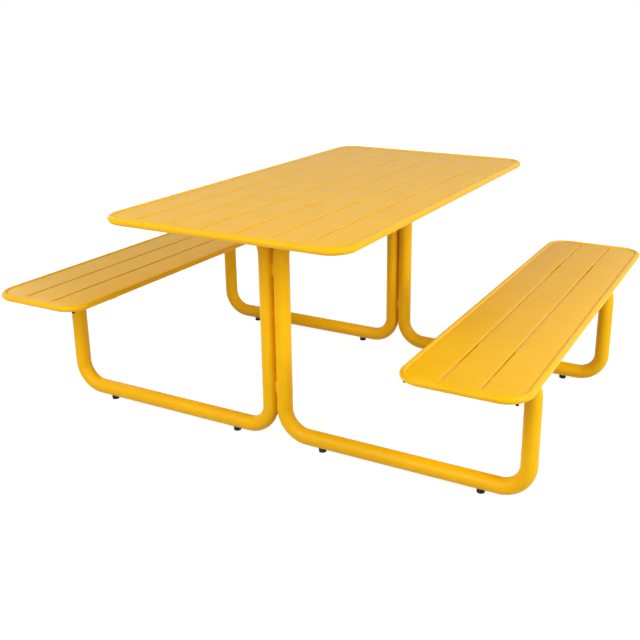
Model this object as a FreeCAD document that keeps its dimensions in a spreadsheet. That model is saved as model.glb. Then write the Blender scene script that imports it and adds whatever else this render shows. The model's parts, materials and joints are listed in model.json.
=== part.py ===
import FreeCAD, Part
import math
import os
import re
import Sketcher
from FreeCAD import Placement, Rotation, Vector

# A steel picnic table: a slotted top and two slotted seats, each a sheet inside a round tube rim,
# carried by four bent tube legs that stand back to back in two pairs on eight levelling feet.
# Millimetres. X runs along the table, Y across it, Z up from the floor under the table's middle.
# Front is the -X end, left is +Y.

# Driving sizes
SIZES = [
    ("top_length", 1500, "table top, rim to rim along X"),
    ("top_width", 800, "table top, rim to rim along Y"),
    ("top_surface", 750, "height of the table's sheet"),
    ("top_corner", 75, "outer corner radius of the table top in plan"),
    ("top_rim_dia", 22, "table rim tube, outside diameter"),
    ("top_slots", 6, "slots in the table top"),
    ("top_slot_pitch", 111.2, "middle to middle of the table's slots"),
    ("seat_length", 1500, "seat, rim to rim along X"),
    ("seat_width", 350, "seat, rim to rim along Y"),
    ("seat_surface", 447, "height of the seat's sheet"),
    ("seat_corner", 75, "outer corner radius of a seat in plan"),
    ("seat_rim_dia", 20, "seat rim tube, outside diameter"),
    ("seat_slots", 2, "slots in a seat"),
    ("seat_slot_pitch", 107.5, "middle to middle of a seat's slots"),
    ("seat_offset", 702, "middle of a seat from the middle of the table"),
    ("rim_wall", 1.5, "wall of the rim tubes"),
    ("rim_crown", 3, "height of the rim above the sheet"),
    ("sheet_gauge", 2, "thickness of the sheet and of its turned-down slot lips"),
    ("slot_gap", 6, "clear width of a slot"),
    ("slot_margin", 34, "end of a slot from the outside of the rim"),
    ("slot_roll", 2.5, "radius of the rolled edge along a slot"),
    ("lip_depth", 9, "depth of a slot's lip below the sheet's surface"),
    ("rail_width", 40, "cross rails, along X"),
    ("rail_wall", 1.5, "wall of the cross rails"),
    ("rail_corner", 3, "outer corner radius of the cross rails"),
    ("top_rail_depth", 17, "height of a cross rail under the table"),
    ("seat_rail_depth", 7, "height of a cross rail under a seat"),
    ("leg_dia", 50, "leg tube, outside diameter"),
    ("leg_wall", 2, "wall of the leg tube"),
    ("leg_bend", 82.5, "bend radius of the leg tube at its centre line"),
    ("leg_span", 900, "front pair of legs to back pair"),
    ("leg_pair_gap", 2, "daylight between the two legs of a pair"),
    ("leg_spread", 815, "outer upright from the middle of the table"),
    ("top_arm_end", 300, "end of the arm under the table, from the middle of the table"),
    ("seat_arm_end", 640, "end of the arm under the seat, from the middle of the table"),
    ("cap_gauge", 3, "thickness of the disc in an arm's end"),
    ("saddle_rise", 3, "cross rail to arm, filled by the saddle's crown"),
    ("saddle_length", 30, "saddle along the arm"),
    ("saddle_skirt", 7, "how far a saddle reaches down the arm's sides"),
    ("top_bolt_inset", 30, "outer bolt of a table arm from the arm's end"),
    ("top_bolt_pitch", 120, "bolt to bolt on a table arm"),
    ("seat_bolt_inset", 22, "inner bolt of a seat arm from the arm's end"),
    ("seat_bolt_pitch", 54, "bolt to bolt on a seat arm"),
    ("bolt_dia", 8, "bolts through the arms"),
    ("bolt_head", 5.3, "height of a bolt's head"),
    ("hex_width", 13, "bolt heads and nuts, across the flats"),
    ("hole_play", 0.6, "bolt holes over the bolt's diameter"),
    ("nut_play", 0.2, "nut bore over the bolt's diameter"),
    ("nut_height", 3.6, "thin weld nut inside a cross rail"),
    ("washer_dia", 18, "curved washer under a bolt's head"),
    ("washer_gauge", 2, "curved washer at its thinnest"),
    ("link_width", 17, "bar that links a pair of legs, along the table"),
    ("link_height", 38, "link bar, along the legs"),
    ("link_low", 188, "middle of the lower link bars above the floor"),
    ("link_high", 573, "middle of the upper link bars above the floor"),
    ("foot_height", 12, "floor to the underside of the leg tube"),
    ("foot_dia", 24.6, "levelling foot"),
    ("foot_round", 2, "radius round the bottom of a foot"),
    ("foot_floor", 4, "thickness of a foot under its stud"),
    ("inner_foot", 160, "inner feet from the middle of the table"),
    ("outer_foot", 679, "outer feet from the middle of the table"),
    ("stud_dia", 7.4, "stud of a foot"),
    ("stud_length", 28, "stud of a foot"),
    ("stud_play", 0.6, "bore of the insert over the stud's diameter"),
    ("insert_dia", 11.4, "threaded insert in the leg tube"),
    ("insert_length", 15, "threaded insert above its flange"),
    ("insert_flange", 1, "thickness of the insert's flange"),
    ("insert_flange_dia", 16, "insert's flange"),
    ("bumper_dia", 9, "rubber bumper under a seat's corner"),
    ("bumper_height", 5, "bumper below the rim"),
    ("bumper_round", 2, "radius round the bottom of a bumper"),
    ("bumper_stem_dia", 5.6, "stem that holds a bumper in the rim"),
    ("bumper_stem", 6, "length of a bumper's stem"),
    ("weld_gap", 0.3, "room left beside a curved face that is welded or seated"),
]

doc = FreeCAD.newDocument("picnic_table")
sheet = doc.addObject("Spreadsheet::Sheet", "Sizes")
for row, (alias, number, note) in enumerate(SIZES, start=1):
    sheet.set(f"A{row}", note)
    sheet.set(f"B{row}", str(number))
    sheet.setAlias(f"B{row}", alias)
doc.recompute()
ALIASES = {alias for alias, _, _ in SIZES}

# Sizes that follow from the driving ones, written in their names
LEG_RADIUS = "leg_dia / 2"
RUNNER_Z = f"(foot_height + {LEG_RADIUS})"
INNER_Y = "((leg_dia + leg_pair_gap) / 2)"
TOP_RAIL_Z = "(top_surface - lip_depth - top_rail_depth)"
SEAT_RAIL_Z = "(seat_surface - lip_depth - seat_rail_depth)"
TOP_ARM_Z = f"({TOP_RAIL_Z} - saddle_rise - {LEG_RADIUS})"
SEAT_ARM_Z = f"({SEAT_RAIL_Z} - saddle_rise - {LEG_RADIUS})"
TOP_BOLTS_Y = ["(top_arm_end - top_bolt_inset)", "(top_arm_end - top_bolt_inset - top_bolt_pitch)"]
SEAT_BOLTS_Y = ["(seat_arm_end + seat_bolt_inset)", "(seat_arm_end + seat_bolt_inset + seat_bolt_pitch)"]
FEET_Y = {"inner": "inner_foot", "outer": "outer_foot"}
INSERT_Z = "(foot_height - weld_gap - insert_flange)"
LEG_X = {"front": "(-leg_span / 2)", "back": "(leg_span / 2)"}
SIDES = {"left": 1, "right": -1}

HALF_TURN = Rotation(Vector(0, 0, 1), 180)
LEVEL_ALONG_Y = Rotation(Vector(1, 0, 0), -90)


def bound(text):
    """An expression in size names, as the document reads it."""
    def with_sheet(word):
        name = word.group(0)
        return f"Sizes.{name}" if name in ALIASES else name

    return re.sub(r"[a-z_]+", with_sheet, str(text))


def value(text):
    """The number that an expression in size names stands for now."""
    found = sheet.evalExpression(bound(text))
    return float(getattr(found, "Value", found))


def bind(thing, prop, text):
    thing.setExpression(prop, bound(text))


def place(thing, x="0", y="0", z="0", turn=None):
    """Puts an object where three expressions say, turned as given."""
    thing.Placement = Placement(Vector(value(x), value(y), value(z)), turn or Rotation())
    for axis, text in zip("xyz", (x, y, z)):
        bind(thing, f"Placement.Base.{axis}", text)


# Sketch helpers
def new_body(name):
    body = doc.addObject("PartDesign::Body", name)
    body.Label = name
    return body


def sketch_on(body, role, name, lift="0", rise="0"):
    """A sketch on one of the body's own planes, lifted along that plane's normal and raised in the plane."""
    sketch = body.newObject("Sketcher::SketchObject", name)
    plane = next(f for f in body.Origin.OriginFeatures if f.Role == role)
    sketch.AttachmentSupport = [(plane, "")]
    sketch.MapMode = "FlatFace"
    sketch.AttachmentOffset = Placement(Vector(0, value(rise), value(lift)), Rotation())
    bind(sketch, "AttachmentOffset.Base.y", rise)
    bind(sketch, "AttachmentOffset.Base.z", lift)
    return sketch


def measure(sketch, kind, *where, size):
    """Adds a dimension to a sketch and binds it to an expression."""
    index = sketch.addConstraint(Sketcher.Constraint(kind, *where, value(size)))
    sketch.setExpression(f"Constraints[{index}]", bound(size))


ORIGIN = (-1, 1)
H_AXIS = -1
V_AXIS = -2
START, END, CENTRE = range(1, 4)
LEVEL_TOLERANCE = 0.01


def line(sketch, x0, y0, x1, y1):
    return sketch.addGeometry(Part.LineSegment(Vector(x0, y0, 0), Vector(x1, y1, 0)))


def arc(sketch, x, y, radius, from_deg, to_deg):
    circle = Part.Circle(Vector(x, y, 0), Vector(0, 0, 1), radius)
    return sketch.addGeometry(Part.ArcOfCircle(circle, math.radians(from_deg), math.radians(to_deg)))


def tangent(sketch, first, first_end, second, second_end):
    sketch.addConstraint(Sketcher.Constraint("Tangent", first, first_end, second, second_end))


def equal(sketch, things):
    for first, second in zip(things, things[1:]):
        sketch.addConstraint(Sketcher.Constraint("Equal", first, second))


def rounded_rectangle(sketch, length, width, radius):
    """A rectangle about the origin with four equal round corners."""
    half_l, half_w, r = value(length) / 2, value(width) / 2, value(radius)
    bottom = line(sketch, r - half_l, -half_w, half_l - r, -half_w)
    right = line(sketch, half_l, r - half_w, half_l, half_w - r)
    top = line(sketch, half_l - r, half_w, r - half_l, half_w)
    left = line(sketch, -half_l, half_w - r, -half_l, r - half_w)
    sides = [bottom, right, top, left]
    corners = [
        arc(sketch, half_l - r, r - half_w, r, -90, 0),
        arc(sketch, half_l - r, half_w - r, r, 0, 90),
        arc(sketch, r - half_l, half_w - r, r, 90, 180),
        arc(sketch, r - half_l, r - half_w, r, 180, 270),
    ]
    for side, corner, following in zip(sides, corners, sides[1:] + sides[:1]):
        tangent(sketch, side, END, corner, START)
        tangent(sketch, corner, END, following, START)
    for side, kind in zip(sides, ("Horizontal", "Vertical") * 2):
        sketch.addConstraint(Sketcher.Constraint(kind, side))
    equal(sketch, corners)
    sketch.addConstraint(Sketcher.Constraint("Symmetric", corners[0], CENTRE, corners[2], CENTRE, *ORIGIN))
    measure(sketch, "DistanceX", left, START, right, START, size=length)
    measure(sketch, "DistanceY", bottom, START, top, START, size=width)
    measure(sketch, "Radius", corners[0], size=radius)


def stadium(sketch, below, length, width):
    """A slot with round ends along X, its middle a given distance below the X axis."""
    y, r = -value(below), value(width) / 2
    half = value(length) / 2 - r
    top = line(sketch, -half, y + r, half, y + r)
    bottom = line(sketch, half, y - r, -half, y - r)
    right = arc(sketch, half, y, r, -90, 90)
    left = arc(sketch, -half, y, r, 90, 270)
    tangent(sketch, bottom, START, right, START)
    tangent(sketch, top, END, right, END)
    tangent(sketch, top, START, left, START)
    tangent(sketch, bottom, END, left, END)
    sketch.addConstraint(Sketcher.Constraint("Horizontal", top))
    sketch.addConstraint(Sketcher.Constraint("Symmetric", left, CENTRE, right, CENTRE, V_AXIS))
    measure(sketch, "DistanceY", right, CENTRE, *ORIGIN, size=below)
    measure(sketch, "DistanceX", left, CENTRE, right, CENTRE, size=f"{length} - {width}")
    measure(sketch, "Radius", right, size=f"({width}) / 2")


def from_axis(sketch, kind, thing, point, size):
    """Dimensions a point from the origin along X or Y, on whichever side of it the point lies."""
    if value(size) < 0:
        measure(sketch, kind, thing, point, *ORIGIN, size=f"-({size})")
    else:
        measure(sketch, kind, *ORIGIN, thing, point, size=size)


def circle_on_axis(sketch, height, diameter):
    """A circle whose centre is on the sketch's upright axis, above or below the origin."""
    ring = sketch.addGeometry(Part.Circle(Vector(0, value(height), 0), Vector(0, 0, 1), value(diameter) / 2))
    sketch.addConstraint(Sketcher.Constraint("PointOnObject", ring, CENTRE, V_AXIS))
    from_axis(sketch, "DistanceY", ring, CENTRE, height)
    measure(sketch, "Diameter", ring, size=diameter)


def stepped_outline(sketch, points):
    """A closed outline of level and upright sides in turn, each dimensioned from the axis it runs along."""
    numbers = [(value(x), value(y)) for x, y in points]
    sides = [line(sketch, *a, *b) for a, b in zip(numbers, numbers[1:] + numbers[:1])]
    for side, following in zip(sides, sides[1:] + sides[:1]):
        sketch.addConstraint(Sketcher.Constraint("Coincident", side, END, following, START))
    for index, side in enumerate(sides):
        level = index % 2 == 0
        sketch.addConstraint(Sketcher.Constraint("Horizontal" if level else "Vertical", side))
        if numbers[index][level]:
            from_axis(sketch, "DistanceY" if level else "DistanceX", side, START, points[index][level])
        else:
            axis = H_AXIS if level else V_AXIS
            sketch.addConstraint(Sketcher.Constraint("PointOnObject", side, START, axis))


def pad(body, sketch, length, name, midplane=False, reverse=False):
    feature = body.newObject("PartDesign::Pad", name)
    feature.Profile = sketch
    feature.Midplane = midplane
    feature.Reversed = reverse
    bind(feature, "Length", length)
    return feature


def pocket(body, sketch, depth, name):
    """Cuts a sketch into the body, against the sketch's normal, and makes sure that it cut something."""
    doc.recompute()
    before = body.Shape.Volume
    feature = body.newObject("PartDesign::Pocket", name)
    feature.Profile = sketch
    bind(feature, "Length", depth)
    doc.recompute()
    if body.Shape.Volume >= before:
        raise RuntimeError(f"{name} cut nothing")
    return feature


def pipe(body, kind, profile, spine, name):
    """Carries a section along a path, adding it to the body or taking it away."""
    feature = body.newObject(f"PartDesign::{kind}Pipe", name)
    feature.Profile = profile
    feature.Spine = (spine, [])
    return feature


# Rims: a round tube bent into a closed rectangle with round corners
def make_rim(name, prefix, drilled):
    """The rim tube of the top or of a seat, about the origin in plan, drilled underneath for its bumpers."""
    body = new_body(name)
    tube, corner = f"{prefix}_rim_dia", f"{prefix}_corner"
    level = f"{prefix}_surface + rim_crown - {tube} / 2"
    spine = sketch_on(body, "XY_Plane", f"{name}_path", level)
    rounded_rectangle(
        spine,
        f"{prefix}_length - {tube}",
        f"{prefix}_width - {tube}",
        f"{corner} - {tube} / 2",
    )
    for kind, width in (("Additive", tube), ("Subtractive", f"{tube} - 2 * rim_wall")):
        profile = sketch_on(body, "YZ_Plane", f"{name}_{kind}_section", f"{corner} - {prefix}_length / 2")
        centre = Vector(value(f"({tube} - {prefix}_width) / 2"), value(level), 0)
        ring = profile.addGeometry(Part.Circle(centre, Vector(0, 0, 1), value(width) / 2))
        from_axis(profile, "DistanceX", ring, CENTRE, f"({tube} - {prefix}_width) / 2")
        from_axis(profile, "DistanceY", ring, CENTRE, level)
        measure(profile, "Diameter", ring, size=width)
        pipe(body, kind, profile, spine, f"{name}_{kind}")
    if drilled:
        holes = sketch_on(body, "XY_Plane", f"{name}_holes", level)
        four_circles(holes, BUMPER_X, BUMPER_Y, "bumper_stem_dia + hole_play")
        pocket(body, holes, f"{tube} / 2 + rim_crown", f"{name}_drilling")
    return body


def four_circles(sketch, x, y, diameter):
    """A circle in each quarter of the plan, all alike."""
    px, py, r = value(x), value(y), value(diameter) / 2
    spots = [(px, py), (-px, py), (-px, -py), (px, -py)]
    rings = [sketch.addGeometry(Part.Circle(Vector(*spot, 0), Vector(0, 0, 1), r)) for spot in spots]
    sketch.addConstraint(Sketcher.Constraint("Symmetric", rings[0], CENTRE, rings[1], CENTRE, V_AXIS))
    sketch.addConstraint(Sketcher.Constraint("Symmetric", rings[0], CENTRE, rings[3], CENTRE, H_AXIS))
    sketch.addConstraint(Sketcher.Constraint("Symmetric", rings[0], CENTRE, rings[2], CENTRE, *ORIGIN))
    equal(sketch, rings)
    measure(sketch, "DistanceX", *ORIGIN, rings[0], CENTRE, size=x)
    measure(sketch, "DistanceY", *ORIGIN, rings[0], CENTRE, size=y)
    measure(sketch, "Diameter", rings[0], size=diameter)


# A bumper sits under the middle of each corner's bend
CORNER_ARM = "(seat_corner - seat_rim_dia / 2) * cos(45 deg)"
BUMPER_X = f"(seat_length / 2 - seat_corner + {CORNER_ARM})"
BUMPER_Y = f"(seat_width / 2 - seat_corner + {CORNER_ARM})"
SEAT_RIM_BOTTOM = "(seat_surface + rim_crown - seat_rim_dia)"


# Panels: one sheet with slots whose edges roll over into short lips
def sheet_inset(prefix):
    """How far the sheet's edge stays inside the rim's outside, so that its lower corner clears the tube."""
    tube = f"{prefix}_rim_dia / 2"
    drop = f"({tube} - rim_crown - sheet_gauge)"
    return f"({tube} + sqrt(({tube}) ^ 2 - {drop} ^ 2) + weld_gap)"


def make_panel(name, prefix):
    body = new_body(name)
    inset = sheet_inset(prefix)
    slots, pitch = f"{prefix}_slots", f"{prefix}_slot_pitch"
    outline = sketch_on(body, "XY_Plane", f"{name}_outline", f"{prefix}_surface")
    rounded_rectangle(
        outline,
        f"{prefix}_length - 2 * {inset}",
        f"{prefix}_width - 2 * {inset}",
        f"{prefix}_corner - {inset}",
    )
    pad(body, outline, "sheet_gauge", f"{name}_sheet", reverse=True)

    first = f"({slots} - 1) * {pitch} / 2"
    opening = f"({prefix}_length - 2 * slot_margin)"
    lip = sketch_on(body, "XY_Plane", f"{name}_lip", f"{prefix}_surface")
    stadium(lip, first, f"{opening} + 2 * sheet_gauge", "(slot_gap + 2 * sheet_gauge)")
    lip_pad = pad(body, lip, "lip_depth", f"{name}_lips", reverse=True)
    slot = sketch_on(body, "XY_Plane", f"{name}_slot", f"{prefix}_surface")
    stadium(slot, first, opening, "slot_gap")
    slot_cut = pocket(body, slot, "lip_depth", f"{name}_slots")

    pattern = body.newObject("PartDesign::LinearPattern", f"{name}_slot_row")
    pattern.Originals = [lip_pad, slot_cut]
    pattern.Direction = (lip, ["V_Axis"])
    bind(pattern, "Length", f"({slots} - 1) * {pitch}")
    bind(pattern, "Occurrences", slots)
    body.Tip = pattern
    doc.recompute()

    roll = body.newObject("PartDesign::Fillet", f"{name}_rolled_edges")
    roll.Base = (pattern, slot_edges(pattern.Shape, prefix))
    bind(roll, "Radius", "slot_roll")
    body.Tip = roll
    return body


def slot_edges(shape, prefix):
    """The edges of the slots in the sheet's upper face, and none of the sheet's own outline."""
    level = value(f"{prefix}_surface")
    reach_x = value(f"{prefix}_length / 2 - slot_margin") + 1
    reach_y = value(f"({prefix}_slots - 1) * {prefix}_slot_pitch / 2 + slot_gap / 2") + 1
    names = []
    for index, edge in enumerate(shape.Edges, start=1):
        box = edge.BoundBox
        in_face = max(abs(box.ZMin - level), abs(box.ZMax - level)) < LEVEL_TOLERANCE
        if in_face and max(-box.XMin, box.XMax) < reach_x and max(-box.YMin, box.YMax) < reach_y:
            names.append(f"Edge{index}")
    return names


# Cross rails: flat rectangular tubes under the lips, drilled below for the bolts
def make_rail(name, prefix, base, bolts_y):
    """A rail along Y about the origin, with its underside at base, drilled at each bolt."""
    body = new_body(name)
    depth = f"{prefix}_rail_depth"
    length = f"({prefix}_width - 2 * {prefix}_rim_dia - 2 * weld_gap)"
    section = sketch_on(body, "XZ_Plane", f"{name}_section", rise=f"{base} + {depth} / 2")
    for wall in ("0", "rail_wall"):
        width, height = f"rail_width - 2 * {wall}", f"{depth} - 2 * {wall}"
        rounded_rectangle(section, width, height, f"rail_corner - {wall}")
    pad(body, section, length, f"{name}_tube", midplane=True)
    doc.recompute()
    holes = sketch_on(body, "XY_Plane", f"{name}_holes", f"{base} + rail_wall * 2")
    for bolt_y in bolts_y:
        circle_on_axis(holes, bolt_y, "bolt_dia + hole_play")
    pocket(body, holes, "rail_wall * 3", f"{name}_drilling")
    return body


# Legs: one tube bent four times, from the arm under the table to the arm under the seat
def leg_path(sketch):
    """The leg's centre line: along under the table, down, along the floor, up and back under the seat."""
    bend, inner, outer = value("leg_bend"), value(INNER_Y), value("leg_spread")
    floor, table, seat = value(RUNNER_Z), value(TOP_ARM_Z), value(SEAT_ARM_Z)
    table_arm = line(sketch, value("top_arm_end"), table, inner + bend, table)
    inner_upright = line(sketch, inner, table - bend, inner, floor + bend)
    runner = line(sketch, inner + bend, floor, outer - bend, floor)
    outer_upright = line(sketch, outer, floor + bend, outer, seat - bend)
    seat_arm = line(sketch, outer - bend, seat, value("seat_arm_end"), seat)
    runs = [table_arm, inner_upright, runner, outer_upright, seat_arm]
    bends = [
        arc(sketch, inner + bend, table - bend, bend, 90, 180),
        arc(sketch, inner + bend, floor + bend, bend, 180, 270),
        arc(sketch, outer - bend, floor + bend, bend, 270, 360),
        arc(sketch, outer - bend, seat - bend, bend, 0, 90),
    ]
    for before, turn, after in zip(runs, bends, runs[1:]):
        tangent(sketch, before, END, turn, START)
        tangent(sketch, turn, END, after, START)
    for run, kind in zip(runs, ("Horizontal", "Vertical") * 2 + ("Horizontal",)):
        sketch.addConstraint(Sketcher.Constraint(kind, run))
    equal(sketch, bends)
    measure(sketch, "Radius", bends[0], size="leg_bend")
    measure(sketch, "DistanceX", *ORIGIN, inner_upright, START, size=INNER_Y)
    measure(sketch, "DistanceX", *ORIGIN, outer_upright, START, size="leg_spread")
    measure(sketch, "DistanceX", *ORIGIN, table_arm, START, size="top_arm_end")
    measure(sketch, "DistanceX", *ORIGIN, seat_arm, END, size="seat_arm_end")
    measure(sketch, "DistanceY", *ORIGIN, runner, START, size=RUNNER_Z)
    measure(sketch, "DistanceY", *ORIGIN, table_arm, START, size=TOP_ARM_Z)
    measure(sketch, "DistanceY", *ORIGIN, seat_arm, END, size=SEAT_ARM_Z)


def make_leg(name):
    body = new_body(name)
    spine = sketch_on(body, "YZ_Plane", f"{name}_path")
    leg_path(spine)
    section = sketch_on(body, "XZ_Plane", f"{name}_section", "-top_arm_end")
    for bore in ("leg_dia", "leg_dia - 2 * leg_wall"):
        circle_on_axis(section, TOP_ARM_Z, bore)
    pipe(body, "Additive", section, spine, f"{name}_tube")
    drillings = (("table", TOP_ARM_Z, TOP_BOLTS_Y), ("seat", SEAT_ARM_Z, SEAT_BOLTS_Y))
    for arm, arm_z, bolts_y in drillings:
        holes = sketch_on(body, "XY_Plane", f"{name}_{arm}_holes", f"{arm_z} + leg_dia")
        for bolt_y in bolts_y:
            circle_on_axis(holes, bolt_y, "bolt_dia + hole_play")
        pocket(body, holes, "2 * leg_dia", f"{name}_{arm}_drilling")
    holes = sketch_on(body, "XY_Plane", f"{name}_foot_holes", RUNNER_Z)
    for foot_y in FEET_Y.values():
        circle_on_axis(holes, foot_y, "insert_dia + hole_play")
    pocket(body, holes, "leg_dia", f"{name}_foot_drilling")
    return body


# Small pieces, each made once at the origin
def primitive(kind, name, **sizes):
    """One of the basic solids, its properties bound to expressions."""
    thing = doc.addObject(f"Part::{kind}", name)
    for prop, text in sizes.items():
        bind(thing, prop, text)
    return thing


def join(kind, name, base, tool):
    thing = doc.addObject(f"Part::{kind}", name)
    thing.Base = base
    thing.Tool = tool
    return thing


def arm_tube(name, z):
    """A cylinder where an arm passes through the origin along Y, a weld gap bigger than the arm."""
    tube = primitive("Cylinder", name, Radius=f"{LEG_RADIUS} + weld_gap", Height="2 * leg_dia")
    place(tube, y="-leg_dia", z=z, turn=LEVEL_ALONG_Y)
    return tube


HOLE_RADIUS = "(bolt_dia + hole_play) / 2"


def make_saddle(name):
    """A block that seats flat under a rail and hugs the arm below it. Its top is at z = 0."""
    height = "saddle_rise + saddle_skirt"
    block = primitive("Box", f"{name}_block", Length="rail_width", Width="saddle_length", Height=height)
    place(block, "-rail_width / 2", "-saddle_length / 2", f"-({height})")
    arm = arm_tube(f"{name}_arm", f"-saddle_rise - {LEG_RADIUS}")
    hollow = join("Cut", f"{name}_hollow", block, arm)
    bore = primitive("Cylinder", f"{name}_bore", Radius=HOLE_RADIUS, Height="saddle_rise * 2")
    place(bore, z="-saddle_rise * 2")
    return join("Cut", name, hollow, bore)


def make_washer(name):
    """A washer whose upper face follows the arm's underside, which touches z = 0."""
    disc = primitive("Cylinder", f"{name}_disc", Radius="washer_dia / 2", Height="washer_gauge * 2")
    place(disc, z="-weld_gap - washer_gauge")
    curved = join("Cut", f"{name}_curved", disc, arm_tube(f"{name}_arm", LEG_RADIUS))
    bore = primitive("Cylinder", f"{name}_bore", Radius=HOLE_RADIUS, Height="washer_gauge * 4")
    place(bore, z="-washer_gauge * 2")
    return join("Cut", name, curved, bore)


HEX_RADIUS = "hex_width / 2 / cos(30 deg)"


def make_bolt(name, rail_nut_top):
    """A hexagon bolt from below the washer, whose underside seats at z = 0, up through the nut."""
    head = primitive("Prism", f"{name}_head", Circumradius=HEX_RADIUS, Height="bolt_head")
    place(head, z="-bolt_head")
    shank = primitive("Cylinder", f"{name}_shank", Radius="bolt_dia / 2", Height=rail_nut_top)
    return join("Fuse", name, head, shank)


def make_nut(name):
    block = primitive("Prism", f"{name}_block", Circumradius=HEX_RADIUS, Height="nut_height")
    bore = primitive("Cylinder", f"{name}_bore", Radius="(bolt_dia + nut_play) / 2", Height="nut_height * 2")
    return join("Cut", name, block, bore)


def make_link(name):
    """A bar that fills the narrow between two uprights, upright about the origin, a weld gap from both."""
    bar = primitive("Box", f"{name}_block", Length="link_width", Width=INNER_Y, Height="link_height")
    place(bar, "-link_width / 2", f"-{INNER_Y} / 2", "-link_height / 2")
    for side, sign in SIDES.items():
        upright = primitive("Cylinder", f"{name}_{side}_upright", Radius=f"{LEG_RADIUS} + weld_gap",
                            Height="2 * link_height")
        place(upright, y=f"{sign} * {INNER_Y}", z="-link_height")
        bar = join("Cut", f"{name}_{side}_hollow", bar, upright)
    return bar


def revolve(body, sketch, name):
    feature = body.newObject("PartDesign::Revolution", name)
    feature.Profile = sketch
    feature.ReferenceAxis = (sketch, ["V_Axis"])
    feature.Angle = 360
    return feature


def make_foot(name):
    """A moulded foot with a blind bore for its stud and a rounded lower edge."""
    body = new_body(name)
    section = sketch_on(body, "XZ_Plane", f"{name}_section")
    top = INSERT_Z
    bore = "stud_dia / 2 + nut_play / 2"
    points = [("0", "0"), ("foot_dia / 2", "0"), ("foot_dia / 2", top), (bore, top), (bore, "foot_floor"),
              ("0", "foot_floor")]
    stepped_outline(section, points)
    turned = revolve(body, section, f"{name}_moulding")
    doc.recompute()
    edge = round_edge(turned.Shape, 0)
    rounding = body.newObject("PartDesign::Fillet", f"{name}_rounding")
    rounding.Base = (turned, [edge])
    bind(rounding, "Radius", "foot_round")
    body.Tip = rounding
    return body


def round_edge(shape, level):
    """The widest round edge at a height."""
    found = []
    for index, edge in enumerate(shape.Edges, start=1):
        box = edge.BoundBox
        if edge.isClosed() and max(abs(box.ZMin - level), abs(box.ZMax - level)) < LEVEL_TOLERANCE:
            found.append((box.XLength, index))
    return f"Edge{max(found)[1]}"


def make_insert(name):
    """A flanged sleeve, its flange under the tube and its lower face at z = 0."""
    body = new_body(name)
    section = sketch_on(body, "XZ_Plane", f"{name}_section")
    bore, sleeve, flange = "(stud_dia + stud_play) / 2", "insert_dia / 2", "insert_flange_dia / 2"
    top = "insert_flange + insert_length"
    points = [(bore, "0"), (flange, "0"), (flange, "insert_flange"), (sleeve, "insert_flange"), (sleeve, top),
              (bore, top)]
    stepped_outline(section, points)
    revolve(body, section, f"{name}_sleeve")
    return body


def make_bumper(name):
    """A rubber button with a stem, its shoulder at z = 0."""
    body = new_body(name)
    section = sketch_on(body, "XZ_Plane", f"{name}_section")
    stem, button = "bumper_stem_dia / 2", "bumper_dia / 2"
    points = [("0", "-bumper_height"), (button, "-bumper_height"), (button, "0"), (stem, "0"),
              (stem, "bumper_stem"), ("0", "bumper_stem")]
    stepped_outline(section, points)
    turned = revolve(body, section, f"{name}_moulding")
    doc.recompute()
    rounding = body.newObject("PartDesign::Fillet", f"{name}_rounding")
    rounding.Base = (turned, [round_edge(turned.Shape, -value("bumper_height"))])
    bind(rounding, "Radius", "bumper_round")
    body.Tip = rounding
    return body


# The assembly: label to object, in the order in which the files are written
nodes = {}


def keep(label, thing):
    thing.Label = label
    nodes[label] = thing
    return thing


def group(label, master, spots):
    """One node of several solids: the master repeated at each spot (x, y, z, turn)."""
    copies = []
    for index, (x, y, z, turn) in enumerate(spots, start=1):
        copy = doc.addObject("App::Link", f"{label}_{index}")
        copy.LinkedObject = master
        copy.LinkTransform = False
        place(copy, x, y, z, turn)
        copies.append(copy)
    bundle = doc.addObject("Part::Compound", f"{label}_group")
    bundle.Links = copies
    return keep(label, bundle)


keep("table_rim", make_rim("table_rim", "top", drilled=False))
keep("table_panel", make_panel("table_panel", "top"))
TOP_RAIL_HOLES = TOP_BOLTS_Y + [f"(-{bolt_y})" for bolt_y in TOP_BOLTS_Y]
SEAT_RAIL_HOLES = [f"({bolt_y} - seat_offset)" for bolt_y in SEAT_BOLTS_Y]
for end, leg_x in LEG_X.items():
    place(keep(f"table_rail_{end}", make_rail(f"table_rail_{end}", "top", TOP_RAIL_Z, TOP_RAIL_HOLES)), leg_x)

for side, sign in SIDES.items():
    turn = Rotation() if sign > 0 else HALF_TURN
    middle = f"{sign} * seat_offset"
    place(keep(f"{side}_seat_rim", make_rim(f"{side}_seat_rim", "seat", drilled=True)), y=middle, turn=turn)
    place(keep(f"{side}_seat_panel", make_panel(f"{side}_seat_panel", "seat")), y=middle, turn=turn)
    for end, leg_x in LEG_X.items():
        rail = keep(f"{side}_seat_rail_{end}",
                    make_rail(f"{side}_seat_rail_{end}", "seat", SEAT_RAIL_Z, SEAT_RAIL_HOLES))
        place(rail, leg_x, middle, turn=turn)
        place(keep(f"leg_{side}_{end}", make_leg(f"leg_{side}_{end}")), leg_x, turn=turn)

# Link bars between the uprights of each pair
link = make_link("link_bar")
for end, leg_x in LEG_X.items():
    group(f"leg_links_{end}", link, [(leg_x, "0", height, None) for height in ("link_low", "link_high")])

# Discs that close the arms' ends
cap = primitive("Cylinder", "arm_cap", Radius=f"{LEG_RADIUS} - leg_wall - weld_gap", Height="cap_gauge")
CAP_ENDS = {"table": ("top_arm_end - cap_gauge", TOP_ARM_Z), "seat": ("seat_arm_end", SEAT_ARM_Z)}
for arm, (start, arm_z) in CAP_ENDS.items():
    spots = []
    for sign in SIDES.values():
        for leg_x in LEG_X.values():
            from_y = start if sign > 0 else f"-({start}) - cap_gauge"
            spots.append((leg_x, from_y, arm_z, LEVEL_ALONG_Y))
    group(f"{arm}_arm_caps", cap, spots)

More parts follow.
